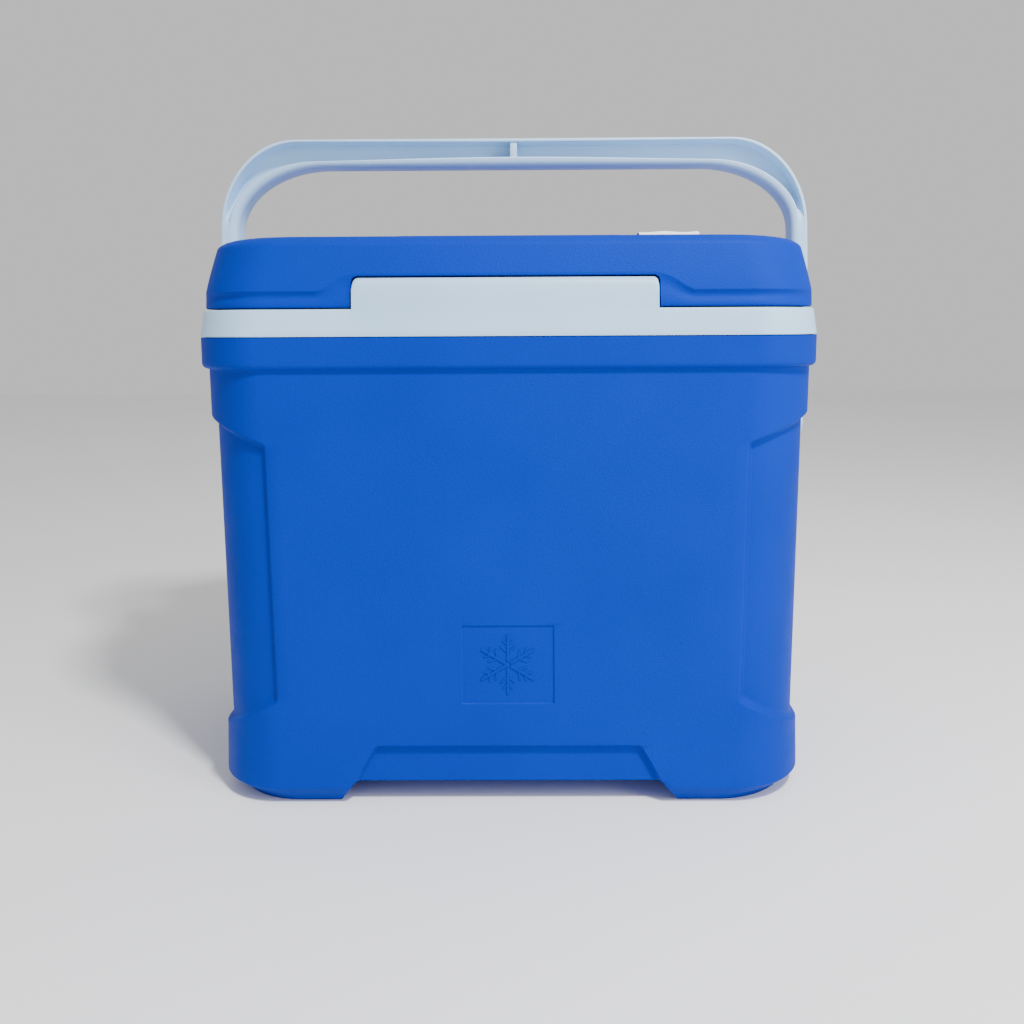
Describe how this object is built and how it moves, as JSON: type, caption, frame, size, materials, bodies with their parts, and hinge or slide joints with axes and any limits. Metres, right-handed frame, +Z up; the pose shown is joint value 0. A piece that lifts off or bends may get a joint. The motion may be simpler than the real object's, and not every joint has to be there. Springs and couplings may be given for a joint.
{
  "type": "hard cooler",
  "caption": "Hard-sided insulated picnic cooler with a blue shell, white liner rim, hinged lid and white bail handle.",
  "frame": {"origin": "on the ground under the middle of the cooler", "axes": "+Z up, the front with the badge faces -Y, the lid hinge runs along X at the +Y side"},
  "size_m": [0.4936, 0.28, 0.504],
  "materials": {
    "blue_plastic": "fine leather-grain moulded polyethylene",
    "white_plastic": "satin moulded polypropylene",
    "foam": "rigid insulating foam",
    "acetal": "smooth",
    "steel": "zinc plated",
    "brass": "machined",
    "paper": "blank coated label",
    "black_plastic": "moulded"
  },
  "bodies": {
    "tub": {"outer_shell": "blue_plastic", "inner_liner": "white_plastic", "body_foam": "foam", "pivot_insert_left": "brass", "pivot_sleeve_left": "acetal", "pivot_washer_left": "steel", "pivot_screw_left": "steel", "hinge_pin_left": "steel", "foam_fill_plug_left": "black_plastic", "pivot_insert_right": "brass", "pivot_sleeve_right": "acetal", "pivot_washer_right": "steel", "pivot_screw_right": "steel", "hinge_pin_right": "steel", "foam_fill_plug_right": "black_plastic"},
    "lid": {"lid_shell": "blue_plastic", "lid_liner": "white_plastic", "lid_foam": "foam", "lid_fill_plug": "white_plastic", "lid_label": "paper"},
    "handle": {"bail_handle": "white_plastic"}
  },
  "joints": [
    {"name": "lid_hinge", "type": "hinge", "parent": "tub", "child": "lid", "pos_m": [0, 0.132, 0.375], "axis": [-1, 0, 0], "range_deg": [0, 92]},
    {"name": "handle_swing", "type": "hinge", "parent": "tub", "child": "handle", "pos_m": [0, 0, 0.268], "axis": [-1, 0, 0], "range_deg": [-137, 137]}
  ],
  "couplings": [
    {"joint": "handle_swing", "follows": "lid_hinge", "ratio": 1.48}
  ]
}
